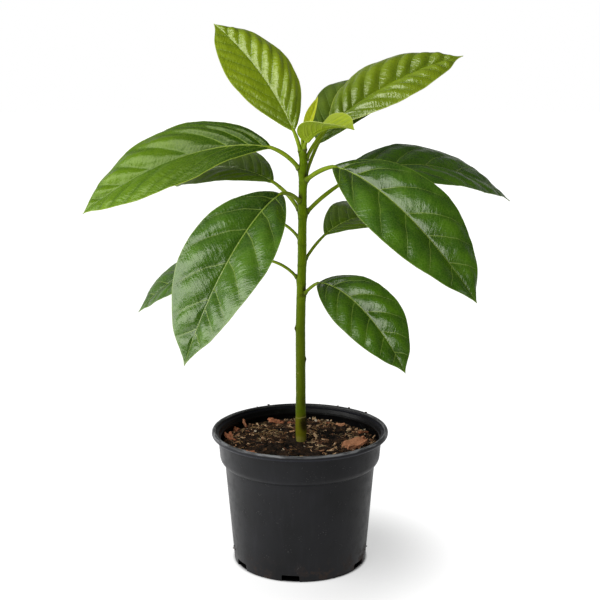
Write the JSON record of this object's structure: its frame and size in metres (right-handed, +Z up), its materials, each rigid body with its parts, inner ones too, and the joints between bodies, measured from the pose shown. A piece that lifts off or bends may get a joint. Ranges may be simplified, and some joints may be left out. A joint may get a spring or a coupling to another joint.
{
  "type": "potted avocado tree",
  "caption": "Young potted avocado tree: a straight green stem with broad glossy leaves, standing in soil in a round black nursery pot.",
  "frame": {"origin": "middle of the pot's flat underside, on the surface the pot stands on", "axes": "+Z up along the stem, -Y towards the front, +X to the right seen from the front"},
  "size_m": [0.4178, 0.2499, 0.5125],
  "materials": {
    "pot_plastic": "satin black moulded plastic, scuffed along the rim",
    "potting_soil": "damp dark potting mix with bark chips",
    "green_bark": "smooth olive green young bark with fine pores",
    "young_leaf": "pale yellow-green, soft sheen",
    "bright_leaf": "bright yellow-green, glossy and ribbed",
    "mid_leaf": "mid green, glossy",
    "deep_leaf": "deep green, glossy above and matt below"
  },
  "bodies": {
    "root": {"pot": "pot_plastic", "potting_soil": "potting_soil", "trunk": "green_bark", "terminal_bud": "young_leaf", "leaf_young_upright": "young_leaf", "leaf_young_folded": "young_leaf", "leaf_top_left": "bright_leaf", "leaf_top_right": "bright_leaf", "leaf_upper_left": "mid_leaf", "leaf_top_back": "deep_leaf", "leaf_upper_right": "deep_leaf", "leaf_middle_left": "deep_leaf", "leaf_upper_left_back": "deep_leaf", "leaf_upper_right_back": "deep_leaf", "leaf_middle_back": "deep_leaf", "leaf_middle_right_back": "deep_leaf", "leaf_low_left_back": "deep_leaf", "leaf_low_right": "deep_leaf"}
  },
  "joints": []
}
